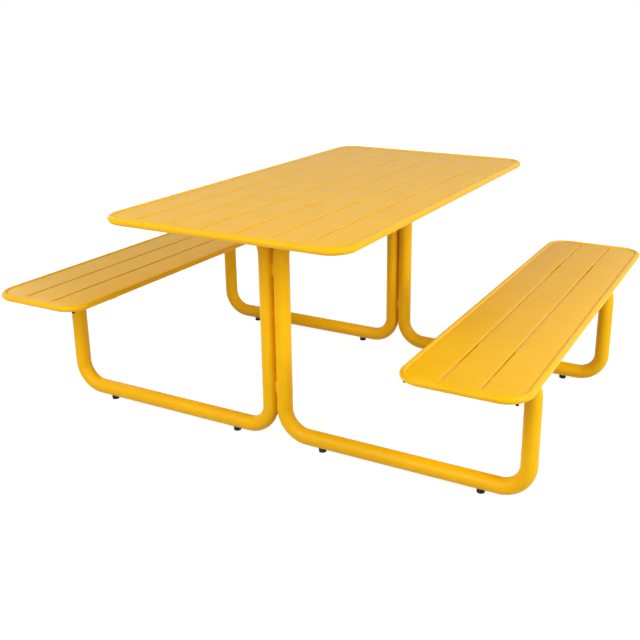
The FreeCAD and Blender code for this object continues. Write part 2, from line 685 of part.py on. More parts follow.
# Bolted joints between the arms and the cross rails
saddle = make_saddle("saddle")
washer = make_washer("curved_washer")
nut = make_nut("weld_nut")
BOLTED = {"table": (TOP_ARM_Z, TOP_RAIL_Z, TOP_BOLTS_Y), "seat": (SEAT_ARM_Z, SEAT_RAIL_Z, SEAT_BOLTS_Y)}
BOLT_GRIP = "(weld_gap + washer_gauge + leg_dia + saddle_rise + rail_wall + nut_height)"
bolt = make_bolt("hexagon_bolt", BOLT_GRIP)
for arm, (arm_z, rail_z, bolts_y) in BOLTED.items():
    places = [(leg_x, f"{sign} * {bolt_y}")
              for leg_x in LEG_X.values() for sign in SIDES.values() for bolt_y in bolts_y]
    underside = f"{arm_z} - {LEG_RADIUS}"
    group(f"{arm}_saddles", saddle, [(x, y, rail_z, None) for x, y in places])
    group(f"{arm}_washers", washer, [(x, y, underside, None) for x, y in places])
    group(f"{arm}_bolts", bolt, [(x, y, f"{underside} - weld_gap - washer_gauge", None) for x, y in places])
    group(f"{arm}_weld_nuts", nut, [(x, y, f"{rail_z} + rail_wall", None) for x, y in places])

# Rubber bumpers under the seats' corners
bumper = make_bumper("bumper")
for side, sign in SIDES.items():
    spots = []
    for sx in (-1, 1):
        for sy in (-1, 1):
            y = f"{sign} * seat_offset + {sy} * {BUMPER_Y}"
            spots.append((f"{sx} * {BUMPER_X}", y, f"{SEAT_RIM_BOTTOM} - weld_gap", None))
    group(f"{side}_seat_bumpers", bumper, spots)

# Levelling feet: an insert in the runner, and a foot with its stud that screws into it
FOOT_PLACES = {}
for side, sign in SIDES.items():
    for end, leg_x in LEG_X.items():
        for where, foot_y in FEET_Y.items():
            FOOT_PLACES[f"{side}_{end}_{where}"] = (leg_x, f"{sign} * {foot_y}")
insert = make_insert("foot_insert")
group("foot_inserts", insert, [(x, y, INSERT_Z, None) for x, y in FOOT_PLACES.values()])
for spot, (x, y) in FOOT_PLACES.items():
    place(keep(f"foot_{spot}", make_foot(f"foot_{spot}")), x, y)
    stud = primitive("Cylinder", f"stud_{spot}", Radius="stud_dia / 2", Height="stud_length")
    place(keep(f"stud_{spot}", stud), x, y, "foot_floor")

doc.recompute()

# Checks before writing
for thing in doc.Objects:
    if "Invalid" in thing.State or "Error" in thing.State:
        raise RuntimeError(f"{thing.Name} did not recompute: {thing.State}")
for label, thing in nodes.items():
    if thing.Shape.isNull() or not thing.Shape.isValid() or not thing.Shape.Solids:
        raise RuntimeError(f"{label} has no valid solid")

os.makedirs("parts", exist_ok=True)
for label, thing in nodes.items():
    thing.Shape.exportStep(f"parts/{label}.step")
    box = thing.Shape.BoundBox
    print(f"{label}: {len(thing.Shape.Solids)} solids, {thing.Shape.Volume / 1000:.1f} cm3, "
          f"z {box.ZMin:.1f} to {box.ZMax:.1f}")
print(len(nodes), "nodes")
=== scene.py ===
# %% [markdown]
# # A picnic table in satin powder coat
# A steel table with two benches: slotted sheets inside bent tube rims, carried by bent tube legs.
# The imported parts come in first, at their real size and place, and everything below is fitted to them.
# A part whose shape is already right only gets its finish. A part that needs rounder tubes, rolled edges,
# welds or threads is drawn again over its solid.

# %% Load the fixed frame
import json
import math

import bmesh
import bpy
import numpy as np
from mathutils import Matrix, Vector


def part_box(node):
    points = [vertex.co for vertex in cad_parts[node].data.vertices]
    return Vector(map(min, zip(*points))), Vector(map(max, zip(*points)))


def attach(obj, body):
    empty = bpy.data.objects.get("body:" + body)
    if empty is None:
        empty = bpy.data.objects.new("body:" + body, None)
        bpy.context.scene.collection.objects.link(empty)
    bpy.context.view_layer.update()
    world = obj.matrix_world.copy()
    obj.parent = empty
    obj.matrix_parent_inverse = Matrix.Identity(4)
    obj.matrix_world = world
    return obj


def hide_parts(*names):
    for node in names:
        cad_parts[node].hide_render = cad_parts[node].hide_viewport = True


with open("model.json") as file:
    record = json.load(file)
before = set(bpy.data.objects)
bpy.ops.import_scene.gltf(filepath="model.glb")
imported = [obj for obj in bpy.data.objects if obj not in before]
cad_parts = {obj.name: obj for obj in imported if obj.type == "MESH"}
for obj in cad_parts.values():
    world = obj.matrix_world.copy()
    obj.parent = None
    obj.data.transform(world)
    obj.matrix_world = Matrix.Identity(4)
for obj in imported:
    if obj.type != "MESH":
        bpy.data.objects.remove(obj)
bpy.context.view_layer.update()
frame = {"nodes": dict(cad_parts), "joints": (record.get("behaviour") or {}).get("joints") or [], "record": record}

MM = 0.001

# %% [markdown]
# ## Camera
# A photograph can be matched by turning a camera by hand until the edges agree. Here the lens, the place and
# the tilt were worked out from the straight edges of the table, so they are written as numbers: the focal
# length and the point that the lens looks at in pixels, the place in metres and the tilt in degrees.

# %% Camera at the photograph's view
IMAGE_SIDE = 640
FOCAL_PIXELS = 866.81
LENS_POINT = (366.97, 278.50)
CAMERA_PLACE = (-2.54499, -1.37008, 1.32567)
HEADING, PITCH, ROLL = np.radians((63.21, -17.48, -0.21))
SENSOR_MM = 36.0


def camera_turn():
    """The camera's axes as columns: right and up in the picture, and back towards the photographer.

    Forward is (sin(heading) * cos(pitch), cos(heading) * cos(pitch), sin(pitch)). Level is square to it and
    flat, and down is the cross product of the two. The roll turns level and down about forward.
    """
    forward = np.array([math.sin(HEADING) * math.cos(PITCH),
                        math.cos(HEADING) * math.cos(PITCH),
                        math.sin(PITCH)])
    level = np.array([math.cos(HEADING), -math.sin(HEADING), 0.0])
    down = np.cross(forward, level)
    right = math.cos(ROLL) * level + math.sin(ROLL) * down
    up = math.sin(ROLL) * level - math.cos(ROLL) * down
    return np.column_stack([right, up, -forward])


lens = bpy.data.cameras.new("camera")
lens.sensor_width = SENSOR_MM
lens.lens = FOCAL_PIXELS / IMAGE_SIDE * SENSOR_MM
lens.shift_x = 0.5 - LENS_POINT[0] / IMAGE_SIDE
lens.shift_y = LENS_POINT[1] / IMAGE_SIDE - 0.5
camera = bpy.data.objects.new("camera", lens)
bpy.context.scene.collection.objects.link(camera)
camera.matrix_world = Matrix.Translation(CAMERA_PLACE) @ Matrix(camera_turn().tolist()).to_4x4()
bpy.context.scene.camera = camera
print("lens", round(lens.lens, 2), "mm, shift", round(lens.shift_x, 4), round(lens.shift_y, 4))

# %% [markdown]
# ## Soft boxes
# The table stands in a plain studio with five soft boxes. They could be lamps with a sharp edge, but a wide
# square gives the broad soft streaks that satin paint shows. The front one, left of the camera, shines along
# the slots, so they stay dark inside, and it reaches the legs under the top. The right one lights the far
# side of every tube, and the small one on the left draws a soft line on the bends. Two weak ones, left and
# behind, keep the other sides from going dull.

# %% Soft boxes
# Each box has its place and its width in metres, and its power in watts.
SOFT_BOXES = {
    "front_soft_box": ((-3.6, 0.7, 2.3), 2.0, 79.0),
    "right_soft_box": ((-0.7, -4.1, 2.5), 2.4, 170.0),
    "small_soft_box": ((-3.0, 2.4, 2.9), 1.2, 32.0),
    "left_soft_box": ((0.9, 4.1, 2.8), 2.4, 40.0),
    "back_soft_box": ((3.6, -1.2, 3.2), 2.4, 28.0),
}
AIM = np.array((0.0, 0.0, 0.5))


def add_soft_box(name, place, width, power):
    """A square lamp that faces the table and shines along its own -Z axis.

    Its Z axis runs from the table to the lamp, X is the cross product of up and Z, and Y that of Z and X.
    """
    data = bpy.data.lights.new(name, "AREA")
    data.size = width
    data.energy = power
    lamp = bpy.data.objects.new(name, data)
    bpy.context.scene.collection.objects.link(lamp)
    back = np.array(place) - AIM
    back /= np.linalg.norm(back)
    across = np.cross((0.0, 0.0, 1.0), back)
    across /= np.linalg.norm(across)
    axes = np.column_stack([across, np.cross(back, across), back])
    lamp.matrix_world = Matrix.Translation(place) @ Matrix(axes.tolist()).to_4x4()


for name, (place, width, power) in SOFT_BOXES.items():
    add_soft_box(name, place, width, power)
print("soft boxes:", ", ".join(SOFT_BOXES))

# %% [markdown]
# ## Shader nodes
# The room and the finishes are small nets of nodes. They can be drawn by hand in the shader editor, but a
# written net is easier to read and to change. One function adds a node with its settings and links, and one
# turns the hex colours of a paint chart into the linear light that the renderer reckons with.

# %% Nodes and colours
def add_node(tree, kind, values=None, links=None, stops=(), **settings):
    """Adds one shader node, sets its properties, sockets and colour stops, and links outputs into it.

    A stop is a place on a colour ramp and the hex colour there.
    """
    node = tree.nodes.new(kind)
    for name, setting in settings.items():
        setattr(node, name, setting)
    for socket, number in (values or {}).items():
        node.inputs[socket].default_value = number
    for socket, source in (links or {}).items():
        tree.links.new(source, node.inputs[socket])
    for number, (place, code) in enumerate(stops):
        node.color_ramp.elements[number].position = place
        node.color_ramp.elements[number].color = linear(code)
    return node


def linear(code):
    """An sRGB hex colour as linear light: c / 12.92 in the dark, ((c + 0.055) / 1.055) ^ 2.4 above."""
    srgb = np.array([int(code[i:i + 2], 16) for i in (0, 2, 4)]) / 255
    light = np.where(srgb <= 0.04045, srgb / 12.92, ((srgb + 0.055) / 1.055) ** 2.4)
    return (*light.tolist(), 1.0)


WHITE = linear("FFFFFF")
print("the grey 808080 gives back", round(linear("808080")[0], 3), "of the light")

# %% [markdown]
# ## Room
# The walls are white and the ceiling is darker. A room of real walls would do, but the world's colour can
# change with height and costs nothing to render. Walls and ceiling show in reflections as they are, and light
# the table only weakly, because a room that is white all round would leave no shade.

# %% Studio room
# How bright walls and ceiling are, and the angles above the horizon between which one turns into the other.
WALL, CEILING = 1.0, 0.40
WALL_TOP, CEILING_EDGE = math.radians(15), math.radians(36)
ROOM_FILL = 0.11


def seen_directly(tree):
    """1 for what the eye sees, straight, in a reflection or through glass, and 0 for light that only falls.

    It is the largest of the marks of the three kinds of ray that end in the eye.
    """
    path = add_node(tree, "ShaderNodeLightPath").outputs
    eye = add_node(tree, "ShaderNodeMath", operation="MAXIMUM",
                   links={0: path["Is Camera Ray"], 1: path["Is Glossy Ray"]}).outputs[0]
    return add_node(tree, "ShaderNodeMath", operation="MAXIMUM",
                    links={0: eye, 1: path["Is Transmission Ray"]}).outputs[0]


room = bpy.data.worlds.new("studio_room")
room.use_nodes = True
tree = room.node_tree
tree.nodes.clear()
way = add_node(tree, "ShaderNodeTexCoord").outputs["Generated"]
height = add_node(tree, "ShaderNodeSeparateXYZ", links={0: way}).outputs["Z"]
level = add_node(tree, "ShaderNodeMapRange",
                 {"From Min": math.sin(WALL_TOP), "From Max": math.sin(CEILING_EDGE),
                  "To Min": WALL, "To Max": CEILING},
                 {"Value": height}, interpolation_type="SMOOTHSTEP")
paint = add_node(tree, "ShaderNodeBackground", {"Color": WHITE}, {"Strength": level.outputs["Result"]})
fill = add_node(tree, "ShaderNodeBackground", {"Color": WHITE, "Strength": ROOM_FILL})
mixed = add_node(tree, "ShaderNodeMixShader",
                 links={0: seen_directly(tree), 1: fill.outputs[0], 2: paint.outputs[0]})
add_node(tree, "ShaderNodeOutputWorld", links={"Surface": mixed.outputs[0]})
bpy.context.scene.world = room
bpy.context.scene.view_settings.view_transform = "Standard"
print("room:", len(tree.nodes), "nodes, fill", ROOM_FILL)

# %% [markdown]
# ## Finishes
# No real finish is quite even, so noise breaks up its colour and gloss. A pattern could lie on an unwrapped
# map, but there its size would change from part to part. Here it is laid out on the object's own
# coordinates, where it has its real size on a part of any shape. The noise lies mostly between 0.3 and 0.7,
# so colour and roughness run over that span.

# %% Tools for every finish
NOISE_LOW, NOISE_HIGH = 0.3, 0.7
NOISE_SPAN = {"From Min": NOISE_LOW, "From Max": NOISE_HIGH}


def per_metre(size_mm):
    """The scale of a noise whose blobs are this many millimetres wide: 1 over that size in metres."""
    return 1 / (size_mm * MM)


def new_material(name):
    """An empty material with the point on the object that its patterns are laid out by."""
    material = bpy.data.materials.new(name)
    material.use_nodes = True
    material.node_tree.nodes.clear()
    point = add_node(material.node_tree, "ShaderNodeTexCoord").outputs["Object"]
    return material, material.node_tree, point


print("blobs of 1 mm have the scale", round(per_metre(1)))

# %% [markdown]
# ## Powder coat
# The steel is sprayed with dry polyester powder and baked, which melts into a satin skin a tenth of a
# millimetre thick. It levels almost flat, and what is left is a faint orange peel and a gloss that changes
# a little from place to place. A plain colour would do from afar, but close by it looks like plastic, so the
# colour drifts by a shade. The peel's waves are about 1 mm long. They are drawn 3 mm long, because finer
# ones would vanish in the picture.

# %% Satin powder coat on steel
POWDER_DEEP, POWDER_BRIGHT = "F7BA06", "FBBF08"
POWDER_IOR, POWDER_SPECULAR = 1.5, 0.14
POWDER_SMOOTH, POWDER_ROUGH = 0.33, 0.39
DRIFT_MM, GLOSS_MM, PEEL_MM = 90, 35, 3
PEEL_STRENGTH, PEEL_HEIGHT = 0.10, 0.2 * MM


def satin_powder_coat():
    """Three noises: a wide one drives the colour, a narrower one the roughness, and a fine one the bump."""
    material, tree, point = new_material("satin_powder_coat_on_steel")
    along = {"Vector": point}
    drift = add_node(tree, "ShaderNodeTexNoise", {"Scale": per_metre(DRIFT_MM), "Detail": 3.0}, along)
    gloss = add_node(tree, "ShaderNodeTexNoise", {"Scale": per_metre(GLOSS_MM), "Detail": 4.0}, along)
    peel = add_node(tree, "ShaderNodeTexNoise", {"Scale": per_metre(PEEL_MM), "Detail": 1.0}, along)
    colour = add_node(tree, "ShaderNodeValToRGB", links={"Fac": drift.outputs["Fac"]},
                      stops=((NOISE_LOW, POWDER_DEEP), (NOISE_HIGH, POWDER_BRIGHT)))
    rough = add_node(tree, "ShaderNodeMapRange",
                     {**NOISE_SPAN, "To Min": POWDER_SMOOTH, "To Max": POWDER_ROUGH},
                     {"Value": gloss.outputs["Fac"]})
    bump = add_node(tree, "ShaderNodeBump", {"Strength": PEEL_STRENGTH, "Distance": PEEL_HEIGHT},
                    {"Height": peel.outputs["Fac"]})
    shader = add_node(tree, "ShaderNodeBsdfPrincipled",
                      {"IOR": POWDER_IOR, "Specular IOR Level": POWDER_SPECULAR},
                      {"Base Color": colour.outputs["Color"], "Roughness": rough.outputs["Result"],
                       "Normal": bump.outputs["Normal"]})
    add_node(tree, "ShaderNodeOutputMaterial", links={"Surface": shader.outputs["BSDF"]})
    return material


powder_coat = satin_powder_coat()
print("made", powder_coat.name)

# %% [markdown]
# ## Black mouldings
# Feet and saddles are moulded nylon, which comes out of an eroded steel mould with a fine even grain. The
# bumpers are rubber, duller and softer. The grain is under half a millimetre. It is drawn about 1 mm wide to
# show at all. One recipe makes both, because they differ only in tone, gloss and grain.

# %% Moulded nylon and rubber
MOULDED_IOR, MOULDED_SPECULAR = 1.53, 0.25
TONE_MM = 12
GRAIN_HEIGHT = 0.1 * MM


def moulded_black(name, dark, light, smoothest, roughest, grain_mm, relief):
    """Two noises: a wide one drives the tone, from dark to light, and a fine one both roughness and bump."""
    material, tree, point = new_material(name)
    along = {"Vector": point}
    grain = add_node(tree, "ShaderNodeTexNoise", {"Scale": per_metre(grain_mm), "Detail": 2.0}, along)
    tone = add_node(tree, "ShaderNodeTexNoise", {"Scale": per_metre(TONE_MM), "Detail": 2.0}, along)
    colour = add_node(tree, "ShaderNodeValToRGB", links={"Fac": tone.outputs["Fac"]},
                      stops=((NOISE_LOW, dark), (NOISE_HIGH, light)))
    rough = add_node(tree, "ShaderNodeMapRange", {**NOISE_SPAN, "To Min": smoothest, "To Max": roughest},
                     {"Value": grain.outputs["Fac"]})
    bump = add_node(tree, "ShaderNodeBump", {"Strength": relief, "Distance": GRAIN_HEIGHT},
                    {"Height": grain.outputs["Fac"]})
    shader = add_node(tree, "ShaderNodeBsdfPrincipled",
                      {"IOR": MOULDED_IOR, "Specular IOR Level": MOULDED_SPECULAR},
                      {"Base Color": colour.outputs["Color"], "Roughness": rough.outputs["Result"],
                       "Normal": bump.outputs["Normal"]})
    add_node(tree, "ShaderNodeOutputMaterial", links={"Surface": shader.outputs["BSDF"]})
    return material


black_nylon = moulded_black("moulded_black_nylon", "0D0C0D", "161516",
                            smoothest=0.42, roughest=0.58, grain_mm=1.0, relief=0.25)
black_rubber = moulded_black("moulded_black_rubber", "0C0C0C", "141313",
                             smoothest=0.66, roughest=0.80, grain_mm=1.2, relief=0.15)
print("made", black_nylon.name, "and", black_rubber.name)

# %% [markdown]
# ## Zinc plate
# Bolts, washers, nuts, studs and inserts are steel with a bright zinc plate, which is a soft grey mirror with
# a faint blue and straw tint. A picture of zinc could be wrapped round each bolt, but cells need no wrapping:
# their roughness rises from the middle to the edge, as on a crystal. Real crystals are under half a
# millimetre. They are drawn 1 mm wide to show at all.

# %% Zinc plated steel
ZINC_BLUE, ZINC_STRAW = "B9C0C8", "CFCBBE"
ZINC_SMOOTH, ZINC_ROUGH = 0.26, 0.40
TINT_MM, CRYSTAL_MM = 9, 1.0
CRYSTAL_EDGE = 0.8


def zinc_plated_steel():
    """A wide noise drives the tint, and the distance from the middle of each crystal the roughness."""
    material, tree, point = new_material("zinc_plated_steel")
    along = {"Vector": point}
    tint = add_node(tree, "ShaderNodeTexNoise", {"Scale": per_metre(TINT_MM), "Detail": 2.0}, along)
    crystals = add_node(tree, "ShaderNodeTexVoronoi", {"Scale": per_metre(CRYSTAL_MM)}, along)
    colour = add_node(tree, "ShaderNodeValToRGB", links={"Fac": tint.outputs["Fac"]},
                      stops=((NOISE_LOW, ZINC_BLUE), (NOISE_HIGH, ZINC_STRAW)))
    rough = add_node(tree, "ShaderNodeMapRange",
                     {"From Min": 0.0, "From Max": CRYSTAL_EDGE, "To Min": ZINC_SMOOTH, "To Max": ZINC_ROUGH},
                     {"Value": crystals.outputs["Distance"]})
    shader = add_node(tree, "ShaderNodeBsdfPrincipled", {"Metallic": 1.0},
                      {"Base Color": colour.outputs["Color"], "Roughness": rough.outputs["Result"]})
    add_node(tree, "ShaderNodeOutputMaterial", links={"Surface": shader.outputs["BSDF"]})
    return material


zinc_plate = zinc_plated_steel()
print("made", zinc_plate.name)

# %% [markdown]
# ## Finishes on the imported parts
# Finishes could be handed out part by part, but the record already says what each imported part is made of.
# So every part gets the finish of that name here, and the pieces that are drawn again below take theirs
# from the same list.

# %% Finish every part
FINISHES = {"powder_coat": powder_coat, "black_nylon": black_nylon, "black_rubber": black_rubber,
            "zinc_plate": zinc_plate}
for part in frame["record"]["subparts"]:
    for slot in frame["nodes"][part["node"]].material_slots:
        slot.material = FINISHES[part["material_slot"]]

# %% [markdown]
# ## From numbers to a mesh
# Every new piece is a grid of points: rows along the piece, columns round it. It could be pulled into shape
# by hand, but a formula is exact and easy to change, and it gives all the points of a grid at once. The
# faces are the same four-cornered net each time. A shape is the two together.

# %% Faces of a grid
def grid_faces(rows, columns, close_rows=False, close_columns=True):
    """Quads of a grid whose points are numbered row by row.

    Each joins the points (row, column), (row, column + 1), (row + 1, column + 1) and (row + 1, column), and
    a closed direction goes on from its last point to its first.
    """
    row = np.arange(rows if close_rows else rows - 1)[:, None]
    column = np.arange(columns if close_columns else columns - 1)[None, :]
    next_row, next_column = (row + 1) % rows, (column + 1) % columns
    corners = (row * columns + column, row * columns + next_column,
               next_row * columns + next_column, next_row * columns + column)
    return np.stack(np.broadcast_arrays(*corners), -1).reshape(-1, 4)


print("a ring of 3 rows and 4 columns has", len(grid_faces(3, 4)), "faces")

# %% [markdown]
# ## From a mesh to a piece
# Points that fall together, as at the tip of a lathe shape, are merged, and then all faces are turned
# outwards. Faces that meet at more than 38 degrees keep a crisp edge, and the rest are shaded smooth. The
# piece rides on a body of the frame, so it moves with it, and hides the solid that it stands for.

# %% Pieces
# The body that everything but the feet rides on.
ROOT = "frame"
MERGE_DISTANCE = 0.002 * MM
SHARP_ANGLE = math.radians(38)


def make_piece(name, shape, slot, stands_for=(), body=ROOT):
    """Puts a shape into a mesh, merges its seams, turns its faces out and lets it ride on a body."""
    points, faces = shape
    mesh = bpy.data.meshes.new(name)
    mesh.from_pydata(np.asarray(points).tolist(), [], [list(face) for face in faces])
    work = bmesh.new()
    work.from_mesh(mesh)
    bmesh.ops.remove_doubles(work, verts=work.verts, dist=MERGE_DISTANCE)
    bmesh.ops.recalc_face_normals(work, faces=work.faces)
    work.to_mesh(mesh)
    work.free()
    mesh.polygons.foreach_set("use_smooth", np.ones(len(mesh.polygons), bool))
    mesh.set_sharp_from_angle(angle=SHARP_ANGLE)
    mesh.materials.append(FINISHES[slot])
    piece = bpy.data.objects.new(name, mesh)
    bpy.context.scene.collection.objects.link(piece)
    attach(piece, body)
    if stands_for:
        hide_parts(*stands_for)
    return piece


print("points closer than", MERGE_DISTANCE / MM, "mm are merged")

# %% [markdown]
# ## Bent tubes
# A mandrel bender makes a leg from one straight tube: straight runs with a round arc of one radius between
# them. A curve object with a bevel would do, but its rings crowd at the corners. Here the path is exact
# runs and arcs with their directions, and a circle is carried along it.

# %% Bent paths
BEND_STEPS = 30


def unit(vectors):
    """Vectors of length 1: each over its own length."""
    return vectors / np.linalg.norm(vectors, axis=-1, keepdims=True)


def bent_path(corners, radius, closed=False):
    """Points and directions along runs joined by arcs.

    At a corner that turns from direction d to direction e by an angle t, the arc starts radius * tan(t / 2)
    before the corner. With m square to d on the side of e, its points are centre - radius * m * cos(a) +
    radius * d * sin(a), and its directions d * cos(a) + m * sin(a), for a from 0 to t.
    """
    corners = np.asarray(corners, float)
    into = unit(corners - np.roll(corners, 1, axis=0))
    out_of = np.roll(into, -1, axis=0)
    points, directions = [], []
    if not closed:
        points.append(corners[:1])
        directions.append(out_of[:1])
    for number in range(len(corners)) if closed else range(1, len(corners) - 1):
        d, e = into[number], out_of[number]
        turn = math.acos(float(np.clip(d @ e, -1, 1)))
        m = (e - d * math.cos(turn)) / math.sin(turn)
        a = np.linspace(0, turn, BEND_STEPS + 1)[:, None]
        centre = corners[number] - d * radius * math.tan(turn / 2) + m * radius
        points.append(centre - radius * m * np.cos(a) + radius * d * np.sin(a))
        directions.append(d * np.cos(a) + m * np.sin(a))
    if not closed:
        points.append(corners[-1:])
        directions.append(into[-1:])
    return np.concatenate(points), np.concatenate(directions)


elbow = bent_path([(0, 0, 0), (1, 0, 0), (1, 1, 0)], 0.5)
print("an elbow has", len(elbow[0]), "points")

# %% Tubes
def tube(points, directions, side, radius, sides, closed=False):
    """Rings p + r * (cos(f) * n + sin(f) * side), with n square to the path and to side, and f all round.

    The radius r may change along the path.
    """
    f = np.linspace(0, 2 * np.pi, sides, endpoint=False)[None, :, None]
    side = np.asarray(side, float)
    n = np.cross(side, directions)[:, None, :]
    r = np.broadcast_to(np.asarray(radius, float), len(points))[:, None, None]
    rings = points[:, None, :] + r * (np.cos(f) * n + np.sin(f) * side)
    return rings.reshape(-1, 3), grid_faces(len(points), sides, close_rows=closed)


print("an elbow of six sides has", len(tube(*elbow, (0, 0, 1), 0.1, 6)[1]), "faces")

# %% [markdown]
# ## Legs
# Each leg is one 50 mm tube with four bends: an arm under the top, an upright, a runner on the floor, an
# upright and an arm back under the seat. Its ends are cut square, and the wall shows as a rounded rim
# round a disc that closes the tube. A flat cap would be simpler, but the wall would be lost, so the rings at
# an end turn over the wall and go back inside. The arms under the top stop a little short of their solids,
# where the photograph's rim hides them.

# %% Sizes of a leg
BEND_RADIUS = 82.5 * MM
DISC_GAUGE = 3.0 * MM
ARM_TRIM = 14.0 * MM

low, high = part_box("leg_left_front")
LEG_RADIUS = (high.x - low.x) / 2
INNER_Y, OUTER_Y = low.y + LEG_RADIUS, high.y - LEG_RADIUS
RUNNER_Z, TABLE_ARM_Z = low.z + LEG_RADIUS, high.z - LEG_RADIUS
cap_low, cap_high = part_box("table_arm_caps")
TABLE_ARM_END = cap_high.y - ARM_TRIM
cap_low, cap_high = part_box("seat_arm_caps")
SEAT_ARM_Z, SEAT_ARM_END = (cap_low.z + cap_high.z) / 2, cap_high.y - DISC_GAUGE
print("runner, seat arm and table arm are", np.round((RUNNER_Z, SEAT_ARM_Z, TABLE_ARM_Z), 4), "m high")

# %% Leg tubes
LEGS = [f"leg_{side}_{end}" for side in ("left", "right") for end in ("front", "back")]
LEG_SIDES = 72
# From the outside over the rounded wall to the inside: how far a ring is drawn in, and how far set back.
END_RADII = LEG_RADIUS - np.array((0.0, 0.2, 0.6, 1.5, 1.9, 2.0, 2.0)) * MM
END_SETBACKS = np.array((0.6, 0.18, 0.0, 0.0, 0.12, 0.5, 14.0)) * MM


def leg_shape(x, sign):
    """A tube along the leg's path. At each end its rings turn over the wall, go back inside and close."""
    stops = [(TABLE_ARM_END, TABLE_ARM_Z), (INNER_Y, TABLE_ARM_Z), (INNER_Y, RUNNER_Z), (OUTER_Y, RUNNER_Z),
             (OUTER_Y, SEAT_ARM_Z), (SEAT_ARM_END, SEAT_ARM_Z)]
    points, directions = bent_path([(x, sign * y, z) for y, z in stops], BEND_RADIUS)
    radii = np.append(END_RADII, 0.0)
    setbacks = np.append(END_SETBACKS, END_SETBACKS[-1])[:, None]
    start = points[0] + directions[0] * setbacks[::-1]
    finish = points[-1] - directions[-1] * setbacks
    count = len(radii)
    path = np.concatenate([start, points[1:-1], finish])
    ways = np.concatenate([np.repeat(directions[:1], count, 0), directions[1:-1],
                           np.repeat(directions[-1:], count, 0)])
    sizes = np.concatenate([radii[::-1], np.full(len(points) - 2, LEG_RADIUS), radii])
    return tube(path, ways, (1, 0, 0), sizes, LEG_SIDES)


LEG_SPOTS = []
for leg in LEGS:
    low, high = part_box(leg)
    x, sign = (low.x + high.x) / 2, 1 if low.y > 0 else -1
    LEG_SPOTS.append((x, sign))
    make_piece(leg.replace("leg_", "leg_tube_"), leg_shape(x, sign), "powder_coat", [leg])
print("legs at", LEG_SPOTS)

# %% [markdown]
# ## Rims
# The edge of the top and of each seat is a thinner tube, bent into a rectangle and welded shut. A stretched
# torus would come near, but its bends would lose their true radius. So it is the same circle on a path,
# this time a closed one that lies flat.

# %% Rim tubes
OUTER_CORNER = 75.0 * MM
RIM_SIDES = 48
SURFACES = {name: (f"{name}_rim", f"{name}_panel") for name in ("table", "left_seat", "right_seat")}


def rectangle(low, high, inset, z):
    """The corners of a box's plan, drawn in by an inset, at one height."""
    x0, x1, y0, y1 = low.x + inset, high.x - inset, low.y + inset, high.y - inset
    return [(x0, y0, z), (x1, y0, z), (x1, y1, z), (x0, y1, z)]


for name, (rim, _) in SURFACES.items():
    low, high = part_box(rim)
    radius = (high.z - low.z) / 2
    corners = rectangle(low, high, radius, low.z + radius)
    points, directions = bent_path(corners, OUTER_CORNER - radius, closed=True)
    shape = tube(points, directions, (0, 0, 1), radius, RIM_SIDES, closed=True)
    make_piece(f"{name}_rim_tube", shape, "powder_coat", [rim])
    print(name, "rim tube", round(2 * radius / MM, 1), "mm")

# %% [markdown]
# ## Slots
# Each surface is one sheet. Its slots are not plain cuts: the edge is rolled over and runs down into a short
# lip, so nobody meets a raw edge and the sheet is stiffer. A lip could be cut out and bevelled, but a profile
# carried round the slot gives a true roll. The slot is a long loop with round ends. The sheet's own edge is
# made in the same way, with another profile on another loop.

# %% Loops of slots and sheets
LOOP_STEPS = 12


def rounded_loop(half_length, half_width, radius, shift, stop):
    """A loop in plan with its outward directions: straight sides, quarter arcs, and points at x = +-stop.

    An arc's points are its centre + radius * (cos(a), sin(a)), which is also the way outwards. The loop
    starts on the lower side at -stop and runs along it to the right end, back along the upper side and
    round the left end, so each end is one stretch of the list.
    """
    quarter = np.linspace(0, np.pi / 2, LOOP_STEPS + 1)
    loops, ways = [], []
    for number, (sx, sy) in enumerate(((1, -1), (1, 1), (-1, 1), (-1, -1))):
        angle = quarter + (number - 1) * np.pi / 2
        way = np.column_stack([np.cos(angle), np.sin(angle)])
        centre = np.array((sx * (half_length - radius), sy * (half_width - radius) + shift))
        if number == 0:
            loops.append(np.array([(-stop, shift - half_width), (stop, shift - half_width)]))
            ways.append(np.array([(0.0, -1.0)] * 2))
        if number == 2:
            loops.append(np.array([(stop, shift + half_width), (-stop, shift + half_width)]))
            ways.append(np.array([(0.0, 1.0)] * 2))
        loops.append(centre + radius * way)
        ways.append(way)
    return np.concatenate(loops), np.concatenate(ways)


def carry(loop, ways, profile, z):
    """A profile carried round a loop: each point moves outwards by the offset and up by the height."""
    plan = loop[:, None, :] + ways[:, None, :] * profile[None, :, :1]
    height = np.broadcast_to(z + profile[:, 1], plan.shape[:2])
    points = np.dstack([plan, height]).reshape(-1, 3)
    return points, grid_faces(len(loop), len(profile), close_rows=True, close_columns=False)


print("a loop has", len(rounded_loop(3.0, 1.0, 0.5, 0.0, 2.0)[0]), "points")

# %% Profiles of lip and edge
SHEET = 2.0 * MM
ROLL_RADIUS = 2.1 * MM
LIP_DEPTH = 9.8 * MM
COLLAR = 4.5 * MM
EDGE_ROUND = 0.6 * MM
ARC = np.radians(np.linspace(0, 90, 9))


